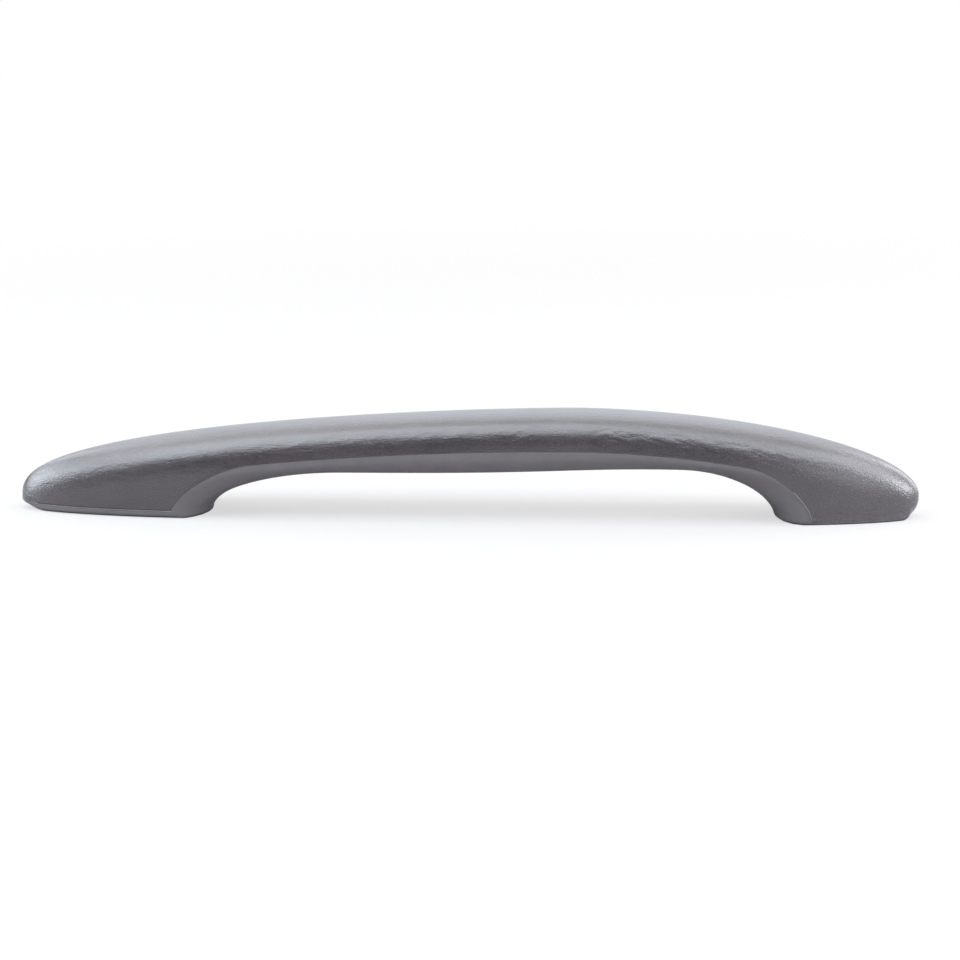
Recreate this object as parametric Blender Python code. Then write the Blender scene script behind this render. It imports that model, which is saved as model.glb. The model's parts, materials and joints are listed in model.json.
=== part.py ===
"""Roof grab handle: a padded bar on two feet, built over a bent steel strap.

X runs along the handle from the long, low foot (-X) to the short, tall foot (+X).
-Y is the front, Z is up, and both feet stand flat on Z = 0.
"""
import bmesh
import bpy
import numpy as np

MM = 0.001

# Overall size
LENGTH = 270.0 * MM
WIDTH = 27.2 * MM
HEIGHT = 31.3 * MM

# Plan outline: how far in from each tip the sides are still curving, and how full the curve is
LONG_TAPER = 61.2 * MM
SHORT_TAPER = 50.8 * MM
PLAN_POWER = 1.81

# Crest line, a superellipse quadrant on each side of the apex
APEX_FROM_SHORT_TIP = 101.2 * MM
LONG_TIP_HEIGHT = 3.0 * MM
SHORT_TIP_HEIGHT = 6.3 * MM
LONG_CREST_POWER = 1.54
LONG_CREST_ROOT = 2.72
SHORT_CREST_POWER = 1.78
SHORT_CREST_ROOT = 2.02

# Section above the flanks
CROWN_DEPTH = 10.3 * MM
CROWN_GROWTH = 8.0 * MM
CROWN_HOLD = 0.25
SHOULDER_EASE = 6.0 * MM
SECTION_POWER = 2.7
TIP_SECTION_POWER = 1.7

# Finger gap between the feet: two ramps up to a roof with a slight swell, under the bar
LONG_FOOT_LENGTH = 58.8 * MM
SHORT_FOOT_LENGTH = 42.3 * MM
BAR_DEPTH = 15.8 * MM
GAP_SWELL = 1.9 * MM
GAP_SWELL_FROM_SHORT_TIP = 75.5 * MM
GAP_SWELL_REACH = 42.4 * MM
LONG_RAMP_LENGTH = 41.4 * MM
LONG_RAMP_ROOT = 0.56
SHORT_RAMP_LENGTH = 28.8 * MM
SHORT_RAMP_ROOT = 0.60
LONG_HEEL_RETREAT = 10.1 * MM
SHORT_HEEL_RETREAT = 10.5 * MM
LONG_HEEL_FADE = 50.0 * MM
SHORT_HEEL_FADE = 40.0 * MM

# Rounding of the lower edges and the tips
LONG_EDGE_ROUND = 1.35 * MM
SHORT_EDGE_ROUND = 0.5 * MM
BAR_EDGE_ROUND = 5.5 * MM
LONG_TIP_ROUND = 8.5 * MM
SHORT_TIP_ROUND = 4.8 * MM

# Parting line between the grained cover and the smooth carrier
BAND_DEPTH = 6.0 * MM
LONG_PART_DROP = 7.75 * MM
SHORT_PART_DROP = 8.03 * MM
LONG_RIM = 2.3 * MM
SHORT_RIM = 0.8 * MM
LONG_PART_RAMP = 25.0 * MM
LONG_PART_ROOT = 0.72
SHORT_PART_RAMP = 19.0 * MM
SHORT_PART_ROOT = 0.60

# Fits
CLEAR = 0.3 * MM

# Carrier
CARRIER_WALL = 2.2 * MM
BASE_PLATE = 3.0 * MM
COVER_SKIRT = 2.6 * MM
RIB = 1.6 * MM
RIB_HEIGHT = 0.5 * MM
CELL_COUNT = 11
CELLS_INTO_LONG_FOOT = 4.3 * MM
CELLS_SHORT_MARGIN = 3.0 * MM
PLATE_END_GAP = 7.0 * MM
PLATE_TIP_GAP = 7.5 * MM
SEAT_LIP = 1.0 * MM

# Steel strap
STRAP_SIDE_GAP = 6.6 * MM
STRAP_THICKNESS = 3.0 * MM
STRAP_CORNER = 4.0 * MM
STRAP_BEND = 9.0 * MM
STRAP_TIP_GAP_LONG = 17.0 * MM
STRAP_TIP_GAP_SHORT = 10.0 * MM
LONG_CRANK_START = 9.0 * MM
LONG_CRANK_RUN = 24.5 * MM
SHORT_CRANK_START = 7.0 * MM
SHORT_CRANK_RUN = 17.5 * MM

# Captive nuts for the mounting bolts
LONG_NUT_FROM_TIP = 31.0 * MM
SHORT_NUT_FROM_TIP = 24.0 * MM
NUT_ACROSS_FLATS = 10.0 * MM
NUT_HEIGHT = 5.0 * MM
NUT_CHAMFER = 0.5 * MM
NUT_BORE = 5.2 * MM
PILOT_DIAMETER = 8.0 * MM
PILOT_LENGTH = 1.6 * MM
BOLT_HOLE = 7.0 * MM
BOLT_RUN_OUT = 3.0 * MM

# Carrier screws, countersunk from below
SCREW_PITCH_TO_NUT = 9.8 * MM
SCREW_SHANK = 3.5 * MM
SCREW_LENGTH = 8.0 * MM
SCREW_HEAD = 6.6 * MM
SCREW_HEAD_HEIGHT = 1.8 * MM
SCREW_SUNK = 0.3 * MM
SCREW_RECESS = 2.4 * MM
SCREW_RECESS_DEPTH = 1.1 * MM

# Snap hooks that hold the carrier to the strap along the bar
HOOK_LENGTH = 5.0 * MM
HOOK_THICKNESS = 1.6 * MM
HOOK_REACH = 0.9 * MM
HOOK_HEAD = 1.7 * MM
HOOK_ROOT = 1.2 * MM
HOOK_CELLS = (2, 5, 8)

# Derived places
LONG_TIP = -LENGTH / 2
SHORT_TIP = LENGTH / 2
APEX = SHORT_TIP - APEX_FROM_SHORT_TIP
GAP_LONG = LONG_TIP + LONG_FOOT_LENGTH
GAP_SHORT = SHORT_TIP - SHORT_FOOT_LENGTH
SWELL = SHORT_TIP - GAP_SWELL_FROM_SHORT_TIP
GAP_HEIGHT = HEIGHT - BAR_DEPTH - GAP_SWELL
PART_LONG = GAP_LONG - LONG_HEEL_RETREAT
PART_SHORT = GAP_SHORT + SHORT_HEEL_RETREAT
PART_TOP = GAP_HEIGHT + GAP_SWELL + BAND_DEPTH
LONG_NUT = LONG_TIP + LONG_NUT_FROM_TIP
SHORT_NUT = SHORT_TIP - SHORT_NUT_FROM_TIP
STRAP_WIDTH = WIDTH - 2 * STRAP_SIDE_GAP
STRAP_BASE = BASE_PLATE + CLEAR
STRAP_BAR = GAP_HEIGHT + GAP_SWELL + CARRIER_WALL + RIB_HEIGHT + CLEAR
NUT_BASE = STRAP_BASE + STRAP_THICKNESS + CLEAR
PLATE_ROOT = SHORT_RIM / 2
PILOT_HOLE = PILOT_DIAMETER + 2 * CLEAR
SCREW_HOLE = SCREW_SHANK + 2 * CLEAR
NUT_PLACES = (LONG_NUT, SHORT_NUT)
CELLS_START = GAP_LONG - CELLS_INTO_LONG_FOOT
CELLS_END = GAP_SHORT - CELLS_SHORT_MARGIN
SCREW_PLACES = (
    LONG_NUT - SCREW_PITCH_TO_NUT,
    LONG_NUT + SCREW_PITCH_TO_NUT,
    SHORT_NUT + SCREW_PITCH_TO_NUT,
)
CUT_PAST = 2.0 * MM
TINY = 0.01 * MM

# Mesh fineness
TIP_REACH = 14.0 * MM
TIP_COUNT = 9
SEAM_COUNT = 7
RAMP_COUNT = 12
COARSE_STEP = 6.5 * MM
CLOSEST_STEP = 0.15 * MM
UPPER_COUNT = 13
LOWER_COUNT = 8
FLAT_SHARES = (0.0, 0.4, 0.8)
EDGE_COUNT = 5
SIDE_COUNT = 2
LEAST_SIDE = 0.2 * MM
LID_SHARES = (1.0, 0.5, 0.0)
HEEL_LEAD = 30.0 * MM
CARRIER_END_STEP = 0.4 * MM
ROUND_COUNT = 24
ARC_COUNT = 6
UPPER_TRACE_COUNT = 60
LOWER_TRACE_COUNT = 40
SETTLE_COUNT = 20
HALVING_COUNT = 40
SHARP_ANGLE = 40.0


def unit(value):
    return np.clip(value, 0.0, 1.0)


def rise(distance, span, root):
    """Rounded step from 0 at no distance to 1 a span further on."""
    return (1 - (1 - unit(distance / span)) ** 2) ** root


def half_width(x):
    """Half the plan width of the handle at x."""
    long_end = 1 - unit((x - LONG_TIP) / LONG_TAPER)
    short_end = 1 - unit((SHORT_TIP - x) / SHORT_TAPER)
    fullness = (1 - long_end ** PLAN_POWER) * (1 - short_end ** PLAN_POWER)
    return WIDTH / 2 * np.sqrt(unit(fullness))


def tip_height(x):
    """Height of the tip on the same side of the apex as x."""
    return LONG_TIP_HEIGHT if x < APEX else SHORT_TIP_HEIGHT


def crest_share(x):
    """Height of the crest line above the tips, as a share of its height at the apex."""
    if x < APEX:
        along = unit((APEX - x) / (APEX - LONG_TIP))
        return unit(1 - along ** LONG_CREST_POWER) ** (1 / LONG_CREST_ROOT)
    along = unit((x - APEX) / (SHORT_TIP - APEX))
    return unit(1 - along ** SHORT_CREST_POWER) ** (1 / SHORT_CREST_ROOT)


def crest(x):
    return tip_height(x) + (HEIGHT - tip_height(x)) * crest_share(x)


def section_power(x):
    """Squareness of the crown's section, less towards the tips."""
    return TIP_SECTION_POWER + (SECTION_POWER - TIP_SECTION_POWER) * crest_share(x)


def shoulder(x):
    """Height at which the flank starts to round over into the crown."""
    share = crest_share(x)
    depth = (CROWN_DEPTH + CROWN_GROWTH * (1 - share)) * share ** CROWN_HOLD
    above_tip = crest(x) - depth - tip_height(x)
    ease = SHOULDER_EASE * share * (1 - share)
    return tip_height(x) + (above_tip + np.hypot(above_tip, ease)) / 2


def gap_roof(x):
    """Underside of the handle on its centre line, 0 where the feet stand."""
    swell = GAP_SWELL * np.exp(-((x - SWELL) / GAP_SWELL_REACH) ** 2)
    long_rise = rise(x - GAP_LONG, LONG_RAMP_LENGTH, LONG_RAMP_ROOT)
    short_rise = rise(GAP_SHORT - x, SHORT_RAMP_LENGTH, SHORT_RAMP_ROOT)
    return (GAP_HEIGHT + swell) * long_rise * short_rise


def heel_shift(x, share):
    """How far the heels draw back, at a share of the way from the centre plane to the side."""
    bow = 1 - np.sqrt(1 - unit(share) ** 2)
    long_share = unit(1 - (x - GAP_LONG) / LONG_HEEL_FADE)
    short_share = unit(1 - (GAP_SHORT - x) / SHORT_HEEL_FADE)
    return bow * (LONG_HEEL_RETREAT * long_share - SHORT_HEEL_RETREAT * short_share)


def lower_edge(x, share):
    """Floor height, edge rounding and rise over that rounding of the lower surface."""
    width, tip = half_width(x), tip_height(x)
    nose = 1 - min(unit((x - LONG_TIP) / LONG_TIP_ROUND), unit((SHORT_TIP - x) / SHORT_TIP_ROUND))
    floor = np.maximum(gap_roof(x + heel_shift(x, share)), tip * (1 - np.sqrt(1 - nose ** 2)))
    top = shoulder(x)
    if PART_LONG < x < PART_SHORT:
        top = min(top, carrier_seam(x) - LEAST_SIDE)
        floor = np.minimum(floor, top - LEAST_SIDE)
    lift = np.sqrt(unit(floor / GAP_HEIGHT))
    least = LONG_EDGE_ROUND if x < APEX else SHORT_EDGE_ROUND
    edge = least + (BAR_EDGE_ROUND - least) * lift
    edge = np.minimum(edge + tip * nose ** 2, width)
    return floor, edge, np.minimum(edge, np.maximum(top - floor, 0.0))


def underside(x, y):
    """Lower surface at x and the distances y from the centre plane."""
    width = half_width(x)
    floor, edge, drop = lower_edge(x, np.abs(y) / max(width, TINY))
    inward = unit((np.abs(y) - (width - edge)) / np.maximum(edge, TINY))
    return floor + drop * (1 - np.sqrt(1 - inward ** 2))


def part_line(x):
    """Height of the parting line between the cover and the carrier."""
    if x < APEX:
        drop, rim = LONG_PART_DROP * ((APEX - x) / (APEX - PART_LONG)) ** 2, LONG_RIM
    else:
        drop, rim = SHORT_PART_DROP * ((x - APEX) / (PART_SHORT - APEX)) ** 2, SHORT_RIM
    long_rise = rise(x - PART_LONG, LONG_PART_RAMP, LONG_PART_ROOT)
    short_rise = rise(PART_SHORT - x, SHORT_PART_RAMP, SHORT_PART_ROOT)
    return rim + (PART_TOP - drop - rim) * long_rise * short_rise


def cover_seam(x):
    """Lower limit of the cover: the parting line plus half the clearance."""
    return max(part_line(x - CLEAR / 2), part_line(x + CLEAR / 2)) + CLEAR / 2


def carrier_seam(x):
    """Upper limit of the carrier: the parting line less half the clearance."""
    return min(part_line(x - CLEAR / 2), part_line(x + CLEAR / 2)) - CLEAR / 2


def spread(points, count):
    """Count points evenly spaced along a polyline of (y, z) points."""
    points = np.asarray(points)
    steps = np.hypot(*np.diff(points, axis=0).T)
    along = np.concatenate([[0.0], np.cumsum(steps)])
    wanted = np.linspace(0, along[-1], count)
    return np.column_stack([np.interp(wanted, along, points[:, i]) for i in (0, 1)])


def upper_outline(x, start):
    """Points from the side at height start up to the crest, for y >= 0."""
    width, low, high, power = half_width(x), shoulder(x), crest(x), section_power(x)
    points = [(width, start)] if start < low else []
    first = unit((start - low) / max(high - low, TINY)) ** (power / 2)
    for angle in np.linspace(np.arcsin(first), np.pi / 2, UPPER_TRACE_COUNT):
        y = width * max(np.cos(angle), 0.0) ** (2 / power)
        z = low + (high - low) * np.sin(angle) ** (2 / power)
        points.append((y, z))
    return points


def lower_outline(x):
    """Underside from the centre line out to the side, as (y, z) points."""
    ys = half_width(x) * np.sin(np.linspace(0, np.pi / 2, LOWER_TRACE_COUNT))
    return np.column_stack([ys, underside(x, ys)])


def mirrored(half):
    """Closed ring from a half outline that runs from bottom centre to top centre."""
    half = [tuple(p) for p in half]
    return half + [(-y, z) for y, z in half[-2:0:-1]]


def cover_ring(x):
    seam = cover_seam(x)
    bottom = lower_outline(x)
    side = bottom[-1, 1]
    if seam > side:
        upper = spread(upper_outline(x, seam), UPPER_COUNT)
        ys = np.linspace(0, upper[0, 0], LOWER_COUNT)
        under = np.column_stack([ys, np.full(LOWER_COUNT, seam)])
    else:
        upper = spread(upper_outline(x, side), UPPER_COUNT)
        under = spread(bottom, LOWER_COUNT)
        under[:, 1] = np.maximum(under[:, 1], seam)
    return mirrored(list(under[:-1]) + list(upper))


def lower_point(station, share, angle):
    """Point of the underside on a section that bends back with the heels.

    Share runs over the flat part and angle over the rounded edge beside it.
    """
    into_foot = max(GAP_LONG - station, station - GAP_SHORT)
    bend = unit(1 - into_foot / HEEL_LEAD)
    x, across = station, share
    for _ in range(SETTLE_COUNT):
        width = half_width(x)
        _, edge, _ = lower_edge(x, across)
        y = share * (width - edge) + np.sin(angle) * edge
        across = y / width
        x = station - bend * heel_shift(x, across)
    return float(x), float(y), float(underside(x, y))


def seam_angle(station):
    """Angle over the rounded edge at which a section meets the carrier's upper limit."""
    low, high = 0.0, np.pi / 2
    for _ in range(HALVING_COUNT):
        middle = (low + high) / 2
        x, _, z = lower_point(station, 1.0, middle)
        if z < carrier_seam(x):
            low = middle
        else:
            high = middle
    return low


def carrier_ring(station):
    """Closed carrier section as (x, y, z) points; only its lower part is bent."""
    x, _, z = lower_point(station, 1.0, np.pi / 2)
    sides = SIDE_COUNT if z < carrier_seam(x) - LEAST_SIDE / 2 else 0
    reach = np.pi / 2 if sides else seam_angle(station)
    outline = [lower_point(station, share, 0.0) for share in FLAT_SHARES]
    for angle in np.linspace(0, reach, EDGE_COUNT + SIDE_COUNT - sides):
        outline.append(lower_point(station, 1.0, angle))
    x, y, low = outline[-1]
    seam = carrier_seam(x)
    for share in np.linspace(0, 1, sides + 1)[1:]:
        z = low + (seam - low) * share
        y = upper_outline(x, z)[0][0]
        outline.append((x, y, z))
    outline[-1:] = [(x, y * share, seam) for share in LID_SHARES]
    return outline + [(x, -y, z) for x, y, z in outline[-2:0:-1]]


def section_ring(x, ring):
    return [(x, y, z) for y, z in ring]


def even(start, end):
    """Evenly spaced stations from start up to, but not including, end."""
    count = max(int(round(abs(end - start) / COARSE_STEP)), 1)
    return list(np.linspace(start, end, count, endpoint=False))


def eased(start, end, count):
    """Stations from start up to, but not including, end, close together near start."""
    turn = np.linspace(0, np.pi / 2, count, endpoint=False)
    return [start + (end - start) * (1 - np.cos(angle)) for angle in turn]


def end_stations(tip, part, gap, ramp_end, inward):
    """Stations from just inside a tip to the end of its ramp."""
    places = eased(tip, tip + inward * TIP_REACH, TIP_COUNT)[1:]
    places += even(tip + inward * TIP_REACH, part - inward * CLEAR)
    places.append(part - inward * CLEAR)
    places += eased(part, gap, SEAM_COUNT)
    places += eased(gap, ramp_end, RAMP_COUNT)
    return places


def stations():
    """Places along X at which the sections are taken, close where the form turns."""
    long_ramp_end = GAP_LONG + LONG_RAMP_LENGTH
    short_ramp_end = GAP_SHORT - SHORT_RAMP_LENGTH
    places = end_stations(LONG_TIP, PART_LONG, GAP_LONG, long_ramp_end, 1)
    places += even(long_ramp_end, short_ramp_end) + [short_ramp_end]
    places += end_stations(SHORT_TIP, PART_SHORT, GAP_SHORT, short_ramp_end, -1)
    kept = []
    for x in sorted(places):
        if not kept or x - kept[-1] > CLOSEST_STEP:
            kept.append(x)
    return kept


def unit_vector(vector):
    return vector / np.linalg.norm(vector)


def rounded(corners, radius, steps=ARC_COUNT):
    """Polyline through (x, z) corners with each inner corner turned into an arc."""
    corners = np.array(corners)
    points = [corners[0]]
    for before, corner, after in zip(corners, corners[1:], corners[2:]):
        arrive = unit_vector(corner - before)
        leave = unit_vector(after - corner)
        turn = np.arctan2(arrive[0] * leave[1] - arrive[1] * leave[0], arrive @ leave)
        start = corner - arrive * radius * np.tan(abs(turn) / 2)
        centre = start + np.sign(turn) * radius * np.array([-arrive[1], arrive[0]])
        for angle in np.linspace(0, turn, steps):
            spin = np.array([[np.cos(angle), -np.sin(angle)], [np.sin(angle), np.cos(angle)]])
            points.append(centre + spin @ (start - centre))
    points.append(corners[-1])
    return np.array(points)


def offset_line(points, distance):
    """Polyline moved to its left by a distance, its corners mitred."""
    steps = np.diff(points, axis=0)
    steps /= np.linalg.norm(steps, axis=1)[:, None]
    normals = np.column_stack([-steps[:, 1], steps[:, 0]])
    before = np.vstack([normals[:1], normals])
    after = np.vstack([normals, normals[-1:]])
    mitre = (before + after) / (1 + np.sum(before * after, axis=1))[:, None]
    return points + mitre * distance


def new_object(name, data):
    """Object from a finished bmesh, its faces turned outward."""
    bmesh.ops.recalc_face_normals(data, faces=data.faces)
    mesh = bpy.data.meshes.new(name)
    data.to_mesh(mesh)
    data.free()
    item = bpy.data.objects.new(name, mesh)
    bpy.context.collection.objects.link(item)
    return item


def skin(data, rings, first=None, last=None):
    """Skin closed rings of (x, y, z) points; an end is a point, or a flat cap if None."""
    rows = [[data.verts.new(point) for point in ring] for ring in rings]
    for before, after in zip(rows, rows[1:]):
        for i in range(len(before)):
            j = i - 1
            data.faces.new((before[j], before[i], after[i], after[j]))
    for row, point in ((rows[0], first), (rows[-1], last)):
        if point is None:
            data.faces.new(row)
            continue
        pole = data.verts.new(point)
        for i in range(len(row)):
            data.faces.new((row[i - 1], row[i], pole))


def prism_x(data, outline, low, high):
    """Prism between two X places with an outline of (y, z) points."""
    skin(data, [[(x, y, z) for y, z in outline] for x in (low, high)])


def prism_y(data, outline, half):
    """Prism centred on Y = 0 with an outline of (x, z) points."""
    skin(data, [[(x, y, z) for x, z in outline] for y in (-half, half)])


def prism_z(data, outline, low, high):
    """Prism between two heights with an outline of (x, y) points."""
    skin(data, [[(x, y, z) for x, y in outline] for z in (low, high)])


def polygon(x, radius, sides, start=0.0):
    angles = start + np.arange(sides) * 2 * np.pi / sides
    return [(x + radius * np.cos(a), radius * np.sin(a)) for a in angles]


def hexagon(x, across_flats):
    return polygon(x, across_flats / 2 / np.cos(np.pi / 6), 6, np.pi / 6)


def turned(data, x, profile):
    """Solid of revolution about a vertical axis at x, from (radius, z) points."""
    skin(data, [[(a, b, z) for a, b in polygon(x, r, ROUND_COUNT)] for r, z in profile])


def apply_tool(item, tool, operation):
    """Cut a tool from an object or join it on; the tool stays as a hidden wire guide."""
    tool.hide_render = True
    tool.display_type = "WIRE"
    modifier = item.modifiers.new(tool.name, "BOOLEAN")
    modifier.operation = operation
    modifier.solver = "EXACT"
    modifier.object = tool


def shade(item):
    item.data.shade_smooth()
    item.data.set_sharp_from_angle(angle=np.radians(SHARP_ANGLE))


def material(name, colour, roughness, metallic=0.0):
    """Principled material; the colour is linear RGB."""
    result = bpy.data.materials.new(name)
    result.use_nodes = True
    shader = result.node_tree.nodes["Principled BSDF"]
    shader.inputs["Base Color"].default_value = (*colour, 1.0)
    shader.inputs["Roughness"].default_value = roughness
    shader.inputs["Metallic"].default_value = metallic
    return result


def strap_underside():
    """Line of the strap's lower face: flat in each foot, cranked up to a level bar."""
    return rounded(
        [
            (LONG_TIP + STRAP_TIP_GAP_LONG, STRAP_BASE),
            (GAP_LONG - LONG_CRANK_START, STRAP_BASE),
            (GAP_LONG - LONG_CRANK_START + LONG_CRANK_RUN, STRAP_BAR),
            (GAP_SHORT + SHORT_CRANK_START - SHORT_CRANK_RUN, STRAP_BAR),
            (GAP_SHORT + SHORT_CRANK_START, STRAP_BASE),
            (SHORT_TIP - STRAP_TIP_GAP_SHORT, STRAP_BASE),
        ],
        STRAP_BEND,
    )


def plate_outline(foot, grow):
    """Plan of the raised base plate inside one foot, as (x, y) points."""
    if foot == "long":
        low, high = LONG_TIP + PLATE_TIP_GAP, GAP_LONG - PLATE_END_GAP
    else:
        low, high = GAP_SHORT + PLATE_END_GAP, SHORT_TIP - PLATE_TIP_GAP
    xs = np.linspace(low, high, 9)
    side = [(x, half_width(x) - COVER_SKIRT + grow) for x in xs]
    side[0] = (low - grow, side[0][1])
    side[-1] = (high + grow, side[-1][1])
    return side + [(x, -y) for x, y in side[::-1]]


def add_plates(data, grow, low, high):
    for foot in ("long", "short"):
        prism_z(data, plate_outline(foot, grow), low, high)


def cell_ring(x):
    """Section of a carrier pocket: the underside moved in by the wall, open at the top."""
    inner = half_width(x) - CARRIER_WALL
    shares = np.sin(np.linspace(0, np.pi / 2, 6))
    outer = half_width(x) * shares
    floor = np.max([underside(x + shift, outer) for shift in (-CARRIER_WALL, 0, CARRIER_WALL)], axis=0)
    top = part_line(x) + CUT_PAST
    heights = np.minimum(floor + CARRIER_WALL, top - CUT_PAST / 2)
    return mirrored([*zip(inner * shares, heights), (inner, top), (0.0, top)])


def cell_span(index):
    pitch = (CELLS_END - CELLS_START) / CELL_COUNT
    start = CELLS_START + index * pitch
    return start + RIB / 2, start + pitch - RIB / 2


def add_cells(data):
    for index in range(CELL_COUNT):
        xs = np.linspace(*cell_span(index), 5)
        skin(data, [section_ring(x, cell_ring(x)) for x in xs])


def hook_places():
    return [np.mean(cell_span(index)) for index in HOOK_CELLS]


def add_hooks(data):
    """Snap hooks that stand on the carrier's floor and latch over the strap's edges."""
    latch = STRAP_BAR + STRAP_THICKNESS + CLEAR
    inside = STRAP_WIDTH / 2 + CLEAR
    outside = inside + HOOK_THICKNESS
    for x in hook_places():
        root = underside(x, np.array([outside]))[0] + CARRIER_WALL - HOOK_ROOT
        profile = [
            (inside, root),
            (outside, root),
            (outside, latch + HOOK_HEAD),
            (inside, latch + HOOK_HEAD),
            (inside - HOOK_REACH, latch + HOOK_REACH),
            (inside - HOOK_REACH, latch),
            (inside, latch),
        ]
        for side in (1, -1):
            outline = [(side * y, z) for y, z in profile]
            prism_x(data, outline, x - HOOK_LENGTH / 2, x + HOOK_LENGTH / 2)


def add_hook_pockets(data):
    top = STRAP_BAR + STRAP_THICKNESS + CLEAR + HOOK_HEAD + CLEAR
    half = STRAP_WIDTH / 2 + CLEAR + HOOK_THICKNESS + CLEAR
    reach = HOOK_LENGTH / 2 + CLEAR
    for x in hook_places():
        outline = [(-half, -CUT_PAST), (half, -CUT_PAST), (half, top), (-half, top)]
        prism_x(data, outline, x - reach, x + reach)


def build_cover(places):
    """Grained moulding: the crown and flanks, recessed from below for what it holds."""
    data = bmesh.new()
    rings = [section_ring(x, cover_ring(x)) for x in places]
    skin(data, rings, (LONG_TIP, 0, LONG_TIP_HEIGHT), (SHORT_TIP, 0, SHORT_TIP_HEIGHT))
    cover = new_object("grip_cover", data)
    shade(cover)

    data = bmesh.new()
    roof = offset_line(strap_underside(), STRAP_THICKNESS + CLEAR)
    roof[0, 0] -= CLEAR
    roof[-1, 0] += CLEAR
    outline = [(roof[0, 0], -CUT_PAST), *roof, (roof[-1, 0], -CUT_PAST)]
    prism_y(data, outline, STRAP_WIDTH / 2 + CLEAR)
    apply_tool(cover, new_object("guide_strap_channel", data), "DIFFERENCE")

    data = bmesh.new()
    add_plates(data, CLEAR, -CUT_PAST, BASE_PLATE + SEAT_LIP + CLEAR)
    apply_tool(cover, new_object("guide_plate_recess", data), "DIFFERENCE")

    data = bmesh.new()
    for x in NUT_PLACES:
        prism_z(data, hexagon(x, NUT_ACROSS_FLATS + 2 * CLEAR), -CUT_PAST, NUT_BASE + NUT_HEIGHT + CLEAR)
    for x in SCREW_PLACES:
        prism_z(data, polygon(x, SCREW_HOLE / 2, ROUND_COUNT), -CUT_PAST, SCREW_SUNK + SCREW_LENGTH + CLEAR)
    add_hook_pockets(data)
    apply_tool(cover, new_object("guide_cover_pockets", data), "DIFFERENCE")

    data = bmesh.new()
    for x in NUT_PLACES:
        outline = polygon(x, BOLT_HOLE / 2, ROUND_COUNT)
        prism_z(data, outline, NUT_BASE, NUT_BASE + NUT_HEIGHT + CLEAR + BOLT_RUN_OUT)
    apply_tool(cover, new_object("guide_bolt_run_out", data), "DIFFERENCE")
    return cover


def carrier_end(tip, inward):
    """Place beside a tip where the rounded underside reaches the carrier's upper limit."""
    near, far = tip, tip + inward * TIP_REACH
    for _ in range(HALVING_COUNT):
        middle = (near + far) / 2
        if underside(middle, np.array([0.0]))[0] < carrier_seam(middle):
            far = middle
        else:
            near = middle
    return far


def build_carrier(places):
    """Smooth lower shell: the band along the bar, the ramps and the base of both feet."""
    long_end = carrier_end(LONG_TIP, 1)
    short_end = carrier_end(SHORT_TIP, -1)
    inside = [x for x in places if long_end + CARRIER_END_STEP < x < short_end - CARRIER_END_STEP]
    data = bmesh.new()
    rings = [carrier_ring(x) for x in inside]
    poles = [(x, 0, carrier_seam(x)) for x in (long_end, short_end)]
    skin(data, rings, *poles)
    carrier = new_object("carrier", data)
    shade(carrier)

    data = bmesh.new()
    add_cells(data)
    apply_tool(carrier, new_object("guide_cells", data), "DIFFERENCE")

    data = bmesh.new()
    add_plates(data, 0.0, PLATE_ROOT, BASE_PLATE + SEAT_LIP)
    apply_tool(carrier, new_object("guide_plates", data), "UNION")

    data = bmesh.new()
    seat = offset_line(strap_underside(), -CLEAR)
    seat[0, 0] -= CUT_PAST
    seat[-1, 0] += CUT_PAST
    outline = [(seat[0, 0], HEIGHT), *seat, (seat[-1, 0], HEIGHT)]
    prism_y(data, outline, STRAP_WIDTH / 2 + CLEAR)
    apply_tool(carrier, new_object("guide_strap_seat", data), "DIFFERENCE")

    data = bmesh.new()
    add_hooks(data)
    apply_tool(carrier, new_object("guide_hooks", data), "UNION")

    data = bmesh.new()
    for x in NUT_PLACES:
        prism_z(data, polygon(x, BOLT_HOLE / 2, ROUND_COUNT), -CUT_PAST, BASE_PLATE + CUT_PAST)
    for x in SCREW_PLACES:
        turned(data, x, [
            (SCREW_HEAD / 2 + CLEAR, -CUT_PAST),
            (SCREW_HEAD / 2 + CLEAR, SCREW_SUNK),
            (SCREW_HOLE / 2, SCREW_SUNK + SCREW_HEAD_HEIGHT),
            (SCREW_HOLE / 2, BASE_PLATE + CUT_PAST),
        ])
    apply_tool(carrier, new_object("guide_base_holes", data), "DIFFERENCE")
    return carrier


def build_strap():
    """Steel strap: cranked between the feet, with rounded ends and drilled feet."""
    under = strap_underside()
    over = offset_line(under, STRAP_THICKNESS)
    data = bmesh.new()
    prism_y(data, [*under, *over[::-1]], STRAP_WIDTH / 2 + CUT_PAST)
    strap = new_object("core_strap", data)

    half = STRAP_WIDTH / 2
    corners = [
        (under[0, 0], 0.0), (under[0, 0], -half), (under[-1, 0], -half),
        (under[-1, 0], half), (under[0, 0], half), (under[0, 0], 0.0),
    ]
    data = bmesh.new()
    prism_z(data, rounded(corners, STRAP_CORNER)[1:-1], -CUT_PAST, HEIGHT)
    apply_tool(strap, new_object("guide_strap_plan", data), "INTERSECT")

    data = bmesh.new()
    high = STRAP_BASE + STRAP_THICKNESS + CUT_PAST
    for x in NUT_PLACES:
        prism_z(data, polygon(x, PILOT_HOLE / 2, ROUND_COUNT), 0.0, high)
    for x in SCREW_PLACES:
        prism_z(data, polygon(x, SCREW_HOLE / 2, ROUND_COUNT), 0.0, high)
    apply_tool(strap, new_object("guide_strap_holes", data), "DIFFERENCE")
    return strap


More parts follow.
